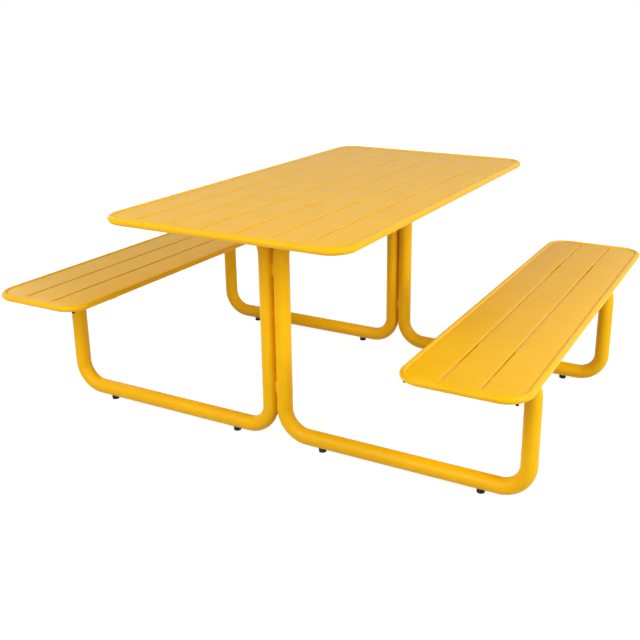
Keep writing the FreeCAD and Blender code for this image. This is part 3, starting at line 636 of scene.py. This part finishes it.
def lip_profile():
    """Offsets from the slot's wall, and heights: collar, rolled quarter, wall, lower edge, back up inside.

    The roll's outside is a quarter circle of the roll's radius, and its inside one of that less the sheet.
    """
    inside, back = ROLL_RADIUS - SHEET, ARC[::-1]
    outer = np.column_stack([ROLL_RADIUS * (1 - np.sin(ARC)), ROLL_RADIUS * (np.cos(ARC) - 1)])
    foot = [(0.0, EDGE_ROUND - LIP_DEPTH), (EDGE_ROUND / 2, -LIP_DEPTH), (SHEET - EDGE_ROUND / 2, -LIP_DEPTH),
            (SHEET, EDGE_ROUND - LIP_DEPTH)]
    inner = np.column_stack([ROLL_RADIUS - inside * np.sin(back), inside * np.cos(back) - ROLL_RADIUS])
    return np.concatenate([[(COLLAR, 0.0)], outer, foot, inner, [(COLLAR, -SHEET)]])


def edge_profile():
    """Offsets and heights over the sheet's own edge: a small quarter circle, the cut face and another."""
    upper = np.column_stack([EDGE_ROUND * (np.sin(ARC) - 1), EDGE_ROUND * (np.cos(ARC) - 1)])
    lower = upper[::-1] * (1, -1) - (0, SHEET)
    return np.concatenate([upper, lower])


print("profiles: lip", len(lip_profile()), "points, edge", len(edge_profile()), "points")

# %% [markdown]
# ## Sheets
# What is left between the lips is flat. One face with slots in it can't be drawn, as a face has no holes.
# So the flat is cut into planks between the slots and, at each end, a comb that runs in and out round them.

# %% Flats between the slots
def flat_faces(outline, slots, stop, z):
    """The sheet's flat at one height: planks between the slots, and at each end a comb round them.

    From its second point to its middle a loop goes round the right end, and from there to its first point
    round the left end. A comb follows the outline's end, and comes back round the ends of all the slots.
    """
    half = len(outline) // 2
    ends = [(loop[1:half + 1], np.concatenate([loop[half + 1:], loop[:1]])) for loop in [outline] + slots]
    right = np.concatenate([ends[0][0]] + [end[0][::-1] for end in ends[:0:-1]])
    left = np.concatenate([ends[0][1]] + [end[1][::-1] for end in ends[1:]])
    sides = [outline[0][1], *(y for slot in slots for y in (slot[0][1], slot[half][1])), outline[half][1]]
    polygons = [right, left]
    for lower, upper in zip(sides[::2], sides[1::2]):
        polygons.append(np.array([(-stop, lower), (stop, lower), (stop, upper), (-stop, upper)]))
    return [(np.column_stack([polygon, np.full(len(polygon), z)]), [list(range(len(polygon)))])
            for polygon in polygons]


plain = rounded_loop(3.0, 1.0, 0.5, 0.0, 2.0)[0]
print("a sheet without slots has", len(flat_faces(plain, [], 2.0, 0.0)), "flats")

# %% Slotted sheets
# Each surface has its number of slots and the distance from one to the next.
SLOTS = {"table": (6, 111.2 * MM), "left_seat": (2, 107.5 * MM), "right_seat": (2, 107.5 * MM)}
SLOT_GAP = 5.6 * MM
SLOT_END = 34.0 * MM


def join(shapes):
    """Several shapes as one: their points in a row, and the faces of each numbered on from the one before."""
    starts = np.cumsum([0] + [len(points) for points, _ in shapes[:-1]])
    points = np.concatenate([points for points, _ in shapes])
    faces = [face for (_, found), start in zip(shapes, starts)
             for face in (np.asarray(found) + start).tolist()]
    return points, faces


def sheet_shape(name, rim, panel):
    """The edge and the lips, each a profile on a loop, and the flats above and below between them."""
    low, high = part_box(panel)
    rim_low, rim_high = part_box(rim)
    half_length, half_width, middle = (high.x - low.x) / 2, (high.y - low.y) / 2, (low.y + high.y) / 2
    corner = OUTER_CORNER - (low.x - rim_low.x)
    stop = half_length - corner
    outline, outward = rounded_loop(half_length, half_width, corner, middle, stop)
    count, pitch = SLOTS[name]
    reach = (rim_high.x - rim_low.x) / 2 - SLOT_END
    shapes = [carry(outline, outward, edge_profile(), high.z)]
    collars = []
    for number in range(count):
        shift = middle + (number - (count - 1) / 2) * pitch
        loop, ways = rounded_loop(reach, SLOT_GAP / 2, SLOT_GAP / 2, shift, stop)
        shapes.append(carry(loop, ways, lip_profile(), high.z))
        collars.append(loop + COLLAR * ways)
    flat_edge = outline - EDGE_ROUND * outward
    for level in (high.z, high.z - SHEET):
        shapes += flat_faces(flat_edge, collars, stop, level)
    return join(shapes)


for name, (rim, panel) in SURFACES.items():
    piece = make_piece(f"{name}_slotted_sheet", sheet_shape(name, rim, panel), "powder_coat", [panel])
    print(piece.name, len(piece.data.polygons), "faces")

# %% [markdown]
# ## Welds
# The rim and the sheet are joined by a fine continuous weld in the groove between them, ground smooth.
# A bevel can't make it, because rim and sheet are separate pieces. So it is a thin tube on a closed path,
# just outside the sheet's edge.

# %% Seam between rim and sheet
SEAM_RADIUS = 1.0 * MM
SEAM_OUT, SEAM_DROP = 0.85 * SEAM_RADIUS, 1.15 * SEAM_RADIUS
SEAM_SIDES = 12

for name, (rim, panel) in SURFACES.items():
    low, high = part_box(panel)
    rim_low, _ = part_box(rim)
    corner = OUTER_CORNER - (low.x - rim_low.x) + SEAM_OUT
    points, directions = bent_path(rectangle(low, high, -SEAM_OUT, high.z - SEAM_DROP), corner, closed=True)
    seam = tube(points, directions, (0, 0, 1), SEAM_RADIUS, SEAM_SIDES, closed=True)
    make_piece(f"{name}_rim_weld", seam, "powder_coat")
print("seams:", len(SURFACES), "of", 2 * SEAM_RADIUS / MM, "mm")

# %% [markdown]
# ## Weld beads
# Link bars, end discs and cross rails have heavier beads, laid by hand in small steps, so a bead is a row of
# overlapping ripples. A noise on a tube would do, but ripples have a rhythm: here the radius of a thin tube
# swells and sinks along its length.

# %% Rippled beads
RIPPLE = 2.2 * MM
RIPPLE_DEPTH = 0.10
RIPPLE_RINGS = 6
BEAD_SIDES = 14
BEAD_TAPER = 1.5


def ripples(points, radius, closed):
    """Radius * (1 + depth * cos(2 pi * length along the bead / ripple)).

    On an open bead it sinks to 0 at both ends as a quarter circle that is 1.5 radii long.
    """
    steps = np.linalg.norm(np.diff(points, axis=0), axis=1)
    along = np.concatenate([[0.0], np.cumsum(steps)])
    swell = 1 + RIPPLE_DEPTH * np.cos(2 * np.pi * along / RIPPLE)
    if not closed:
        near_end = np.clip(np.minimum(along, along[-1] - along) / (BEAD_TAPER * radius), 0, 1)
        swell *= np.sqrt(1 - (1 - near_end) ** 2)
    return radius * swell


def straight_bead(start, stop, side, radius):
    """A bead from one point to another, with six rings to a ripple."""
    start, stop = np.asarray(start, float), np.asarray(stop, float)
    length = np.linalg.norm(stop - start)
    share = np.linspace(0, 1, int(RIPPLE_RINGS * length / RIPPLE) + 1)[:, None]
    points = start + share * (stop - start)
    directions = np.repeat(unit(stop - start)[None, :], len(points), 0)
    return tube(points, directions, side, ripples(points, radius, False), BEAD_SIDES)


def ring_bead(centre, ring_radius, radius):
    """A round bead that faces along Y, in whole ripples: centre + ring radius * (cos(a), 0, sin(a))."""
    count = RIPPLE_RINGS * round(2 * np.pi * ring_radius / RIPPLE)
    a = np.linspace(0, 2 * np.pi, count, endpoint=False)[:, None]
    x, z = np.array((1.0, 0, 0)), np.array((0, 0, 1.0))
    points = np.asarray(centre) + ring_radius * (np.cos(a) * x + np.sin(a) * z)
    directions = np.cos(a) * z - np.sin(a) * x
    return tube(points, directions, (0, 1, 0), ripples(points, radius, True), BEAD_SIDES, closed=True)


print("ripples of", RIPPLE / MM, "mm, at a depth of", RIPPLE_DEPTH)

# %% [markdown]
# ## Beads on the link bars
# The two uprights of a pair stand back to back. A low and a high bar close the narrow valley between them,
# and each bar is welded along its four upright corners.

# %% Link bar welds
LINK_HEIGHT = 38.0 * MM
LINK_BEAD = 1.0 * MM

for end in ("front", "back"):
    low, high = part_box(f"leg_links_{end}")
    beads = [straight_bead((x, y, z), (x, y, z + LINK_HEIGHT), (1, 0, 0), LINK_BEAD)
             for x in (low.x, high.x) for y in (low.y, high.y) for z in (low.z, high.z - LINK_HEIGHT)]
    make_piece(f"link_bar_welds_{end}", join(beads), "powder_coat")
    print(end, "link bars have", len(beads), "beads")

# %% [markdown]
# ## End discs
# A flat disc closes each arm and is welded in all round, just inside the tube's wall. The discs under the
# seats keep their solids. Those under the top are drawn again, because their arms are a little shorter here.

# %% End discs and their welds
LEG_WALL = 2.0 * MM
DISC_RADIUS = LEG_RADIUS - LEG_WALL
DISC_BEAD = 1.1 * MM
DISC_BEAD_INSET = 0.2 * MM


def end_disc(x, sign):
    """A flat round plate in the end of an arm under the top: rings of radius 0, full, full and 0 along Y."""
    y = TABLE_ARM_END - DISC_GAUGE * np.array((0.0, 0.0, 1.0, 1.0))
    points = np.column_stack([np.full(4, x), sign * y, np.full(4, TABLE_ARM_Z)])
    directions = np.repeat([(0.0, float(-sign), 0.0)], 4, 0)
    return tube(points, directions, (1, 0, 0), DISC_RADIUS * np.array((0.0, 1.0, 1.0, 0.0)), LEG_SIDES)


plates = [end_disc(x, sign) for x, sign in LEG_SPOTS]
make_piece("table_end_discs", join(plates), "powder_coat", ["table_arm_caps"])
arm_ends = ((TABLE_ARM_END, TABLE_ARM_Z), (SEAT_ARM_END, SEAT_ARM_Z))
rings = [ring_bead((x, sign * y, z), DISC_RADIUS - DISC_BEAD_INSET, DISC_BEAD)
         for x, sign in LEG_SPOTS for y, z in arm_ends]
make_piece("arm_disc_welds", join(rings), "powder_coat")
print("discs:", len(plates), "drawn again,", len(rings), "welded in")

# %% [markdown]
# ## Beads on the cross rails
# Cross rails run under the sheets from rim to rim, and the arms are bolted to them. Each end of a rail is
# welded to the rim up both sides and along the lower edge.

# %% Cross rail welds
RAIL_BEAD = 1.8 * MM
RAIL_GAP = 2.0 * MM
ALONG_Y = (0, 1, 0)

rail_beads = []
for rail in [name for name in frame["nodes"] if "_rail_" in name]:
    low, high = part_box(rail)
    for y in (low.y, high.y):
        runs = [((x, y, low.z + RAIL_GAP), (x, y, high.z - RAIL_GAP)) for x in (low.x, high.x)]
        runs.append(((low.x + RAIL_GAP, y, low.z), (high.x - RAIL_GAP, y, low.z)))
        rail_beads += [straight_bead(start, stop, ALONG_Y, RAIL_BEAD) for start, stop in runs]
make_piece("cross_rail_welds", join(rail_beads), "powder_coat")
print("cross rails have", len(rail_beads), "beads")

# %% [markdown]
# ## Turned shapes
# Feet and bumpers are round, so each is a profile turned round an axis, as on a lathe. A Screw modifier would
# do the same, but a formula leaves nothing to apply. Profiles are written in millimetres, as on a drawing.

# %% Lathe shapes
TURN_STEPS = 64


def lathe(profile, steps=TURN_STEPS):
    """A profile of (radius, height) turned round Z: its points are (r * cos(a), r * sin(a), height)."""
    profile = np.asarray(profile, float) * MM
    a = np.linspace(0, 2 * np.pi, steps, endpoint=False)[None, :]
    r, z = profile[:, :1], profile[:, 1:]
    points = np.dstack([r * np.cos(a), r * np.sin(a), z + 0 * a]).reshape(-1, 3)
    return points, grid_faces(len(profile), steps)


def round_corner(centre, radius, start, stop, steps=8):
    """An arc in a profile, from one angle in degrees to another: centre + radius * (cos(a), sin(a))."""
    a = np.radians(np.linspace(start, stop, steps + 1))
    return np.column_stack([centre[0] + radius * np.cos(a), centre[1] + radius * np.sin(a)]).tolist()


def repeat(points, faces, spots):
    """The same shape at several spots: its points moved to each, its faces numbered on."""
    spots = np.asarray(spots, float)
    moved = points[None, :, :] + spots[:, None, :]
    numbered = faces[None, :, :] + (np.arange(len(spots)) * len(points))[:, None, None]
    return moved.reshape(-1, 3), numbered.reshape(-1, faces.shape[1])


print("a rounded corner has", len(round_corner((0, 0), 1, 0, 90)), "points")

# %% [markdown]
# ## Levelling feet
# A foot is a nylon button that tapers down to a rounded base, with a socket for its steel stud. The stud's
# thread runs in an insert in the runner. It could be a texture, but a real helix catches the light where a
# foot is screwed out. Each foot and its stud ride on their own body.

# %% Screw thread
THREAD_PITCH = 1.25 * MM
THREAD_DEPTH = 0.65 * MM
ROWS_PER_TURN = 6
THREAD_STEPS = 24


def thread(radius, length):
    """A screw thread: the radius falls from the crest by depth * |2 * u - 1|.

    Here u is the part of a turn passed, which is height / pitch - angle / (2 pi), less its whole number.
    """
    rows = int(ROWS_PER_TURN * length / THREAD_PITCH) + 1
    z = np.linspace(0, length, rows)[:, None]
    a = np.linspace(0, 2 * np.pi, THREAD_STEPS, endpoint=False)[None, :]
    u = (z / THREAD_PITCH - a / (2 * np.pi)) % 1.0
    r = radius - THREAD_DEPTH * np.abs(2 * u - 1)
    r[0], r[-1] = 0.0, 0.0
    points = np.dstack([r * np.cos(a), r * np.sin(a), z + 0 * a]).reshape(-1, 3)
    return points, grid_faces(rows, THREAD_STEPS)


print("thread of", THREAD_PITCH / MM, "mm a turn,", THREAD_DEPTH / MM, "mm deep")

# %% Levelling feet
FOOT_PROFILE = [
    (0.0, 0.0), *round_corner((10.2, 2.1), 2.1, -90, -4), *round_corner((10.9, 9.5), 1.1, 4, 90),
    (4.3, 10.6), (4.0, 10.3), (4.0, 6.0), (0.0, 6.0),
]


def base_middle(low, high):
    """The middle of a box's bottom, as a list of one spot."""
    return [((low.x + high.x) / 2, (low.y + high.y) / 2, low.z)]


for joint in frame["joints"]:
    body = joint["child"]
    spot = body.removesuffix("_foot")
    low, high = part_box(f"foot_{spot}")
    button = repeat(*lathe(FOOT_PROFILE), base_middle(low, high))
    make_piece(f"moulded_foot_{spot}", button, "black_nylon", [f"foot_{spot}"], body)
    low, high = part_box(f"stud_{spot}")
    screw = repeat(*thread((high.x - low.x) / 2, high.z - low.z), base_middle(low, high))
    make_piece(f"threaded_stud_{spot}", screw, "zinc_plate", [f"stud_{spot}"], body)

# %% [markdown]
# ## Rubber bumpers
# A small rubber button is pressed into the rim under each corner of a seat, so that stacked seats don't
# scratch. It is turned too: a dome below, a shoulder against the rim and a stem inside it.

# %% Rubber bumpers
BUMPER_RADIUS, BUMPER_DROP = 4.5, 5.0
BUMPER_STEPS = 40
BUMPER_PROFILE = [
    (0.0, -BUMPER_DROP), *round_corner((2.5, 2.0 - BUMPER_DROP), 2.0, -90, 0),
    *round_corner((3.9, -0.6), 0.6, 0, 90, 4), (2.8, 0.0), (2.8, 6.0), (0.0, 6.0),
]

for side in ("left", "right"):
    low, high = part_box(f"{side}_seat_bumpers")
    inset = BUMPER_RADIUS * MM
    spots = rectangle(low, high, inset, low.z + BUMPER_DROP * MM)
    buttons = repeat(*lathe(BUMPER_PROFILE, BUMPER_STEPS), spots)
    make_piece(f"{side}_rubber_bumpers", buttons, "black_rubber", [f"{side}_seat_bumpers"])
    print(side, "bumpers at", np.round(spots, 3).tolist())

# %% [markdown]
# ## Hexagon bolts
# Bolts hold the arms to the rails, with their heads below. A head is turned like the rest, but its radius
# follows a hexagon, and the chamfer is where a cone of 30 degrees cuts the corners off. So no edge has to be
# bevelled by hand.

# %% Hexagon bolts
# Each arm has two bolts, at these distances from the table's middle.
BOLT_ROWS = {"table": (270.0 * MM, 150.0 * MM), "seat": (662.0 * MM, 716.0 * MM)}
HEX_WIDTH = 13.0 * MM
HEX_STEPS = 96
FACE_SHARE = 0.95
HEAD_HEIGHT = 5.3 * MM
SHANK_RADIUS = 4.0 * MM
CHAMFER = math.tan(math.radians(30))


def bolt_shape(length):
    """A hexagon head below z = 0 and a shank above it.

    The head's radius is half its width over cos(b), with b the angle from the middle of the nearest flat.
    Its lower corners lie on a cone that rises by tan(30 degrees) outside a circle just inside the flats.
    """
    a = np.linspace(0, 2 * np.pi, HEX_STEPS, endpoint=False)
    b = (a + np.pi / 6) % (np.pi / 3) - np.pi / 6
    hexagon = HEX_WIDTH / 2 / np.cos(b)
    none = np.zeros(HEX_STEPS)
    face, shank = none + FACE_SHARE * HEX_WIDTH / 2, none + SHANK_RADIUS
    bottom, top = none - HEAD_HEIGHT, none + length
    corners = (hexagon - face) * CHAMFER - HEAD_HEIGHT
    radii = np.array([none, face, hexagon, hexagon, shank, shank, none])
    heights = np.array([bottom, bottom, corners, none, none, top, top])
    points = np.dstack([radii * np.cos(a), radii * np.sin(a), heights]).reshape(-1, 3)
    return points, grid_faces(len(radii), HEX_STEPS)


ends = sorted({x for x, _ in LEG_SPOTS})
for arm, rows in BOLT_ROWS.items():
    low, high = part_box(f"{arm}_bolts")
    head_top = low.z + HEAD_HEIGHT
    spots = [(x, sign * y, head_top) for x in ends for sign in (1, -1) for y in rows]
    bolts = repeat(*bolt_shape(high.z - head_top), spots)
    make_piece(f"{arm}_hexagon_bolts", bolts, "zinc_plate", [f"{arm}_bolts"])
    print(arm, "bolts:", len(spots))

# %% [markdown]
# ## Floor
# A plain pale floor under the table, wide enough to reach the horizon, so the picture has no edge behind it.
# It is matt paint that bounces a soft grey light. To the eye and in reflections it is white, with the table's
# pale shadow on it. Its own glow grows where the soft boxes no longer reach, so it stays even to the horizon.

# %% Floor
FLOOR_RADIUS, FLOOR_SIDES = 60.0, 64
FLOOR_BOUNCE, FLOOR_SHADE = "C4C4C4", "9E9E9E"
# The glow grows between these distances from the table's middle, in metres.
GLOW_START, GLOW_END = 1.5, 5.0
GLOW_NEAR, GLOW_FAR = 0.86, 0.97


def matt_floor_paint():
    """Bounced light from one paint, and for the eye another paint with a glow that grows outwards."""
    material, tree, point = new_material("matt_white_floor_paint")
    reach = add_node(tree, "ShaderNodeVectorMath", operation="LENGTH", links={0: point})
    level = add_node(tree, "ShaderNodeMapRange",
                     {"From Min": GLOW_START, "From Max": GLOW_END, "To Min": GLOW_NEAR, "To Max": GLOW_FAR},
                     {"Value": reach.outputs["Value"]})
    bounce = add_node(tree, "ShaderNodeBsdfDiffuse", {"Color": linear(FLOOR_BOUNCE)})
    shade = add_node(tree, "ShaderNodeBsdfDiffuse", {"Color": linear(FLOOR_SHADE)})
    glow = add_node(tree, "ShaderNodeEmission", {"Color": WHITE}, {"Strength": level.outputs["Result"]})
    white = add_node(tree, "ShaderNodeAddShader", links={0: shade.outputs[0], 1: glow.outputs[0]})
    mixed = add_node(tree, "ShaderNodeMixShader",
                     links={0: seen_directly(tree), 1: bounce.outputs[0], 2: white.outputs[0]})
    add_node(tree, "ShaderNodeOutputMaterial", links={"Surface": mixed.outputs[0]})
    return material


around = np.linspace(0, 2 * np.pi, FLOOR_SIDES, endpoint=False)
edge = np.column_stack([FLOOR_RADIUS * np.cos(around), FLOOR_RADIUS * np.sin(around), 0 * around])
floor_mesh = bpy.data.meshes.new("studio_floor")
floor_mesh.from_pydata(edge.tolist(), [], [list(range(FLOOR_SIDES))])
floor_mesh.materials.append(matt_floor_paint())
floor = bpy.data.objects.new("studio_floor", floor_mesh)
bpy.context.scene.collection.objects.link(floor)
print("floor", 2 * FLOOR_RADIUS, "m across")
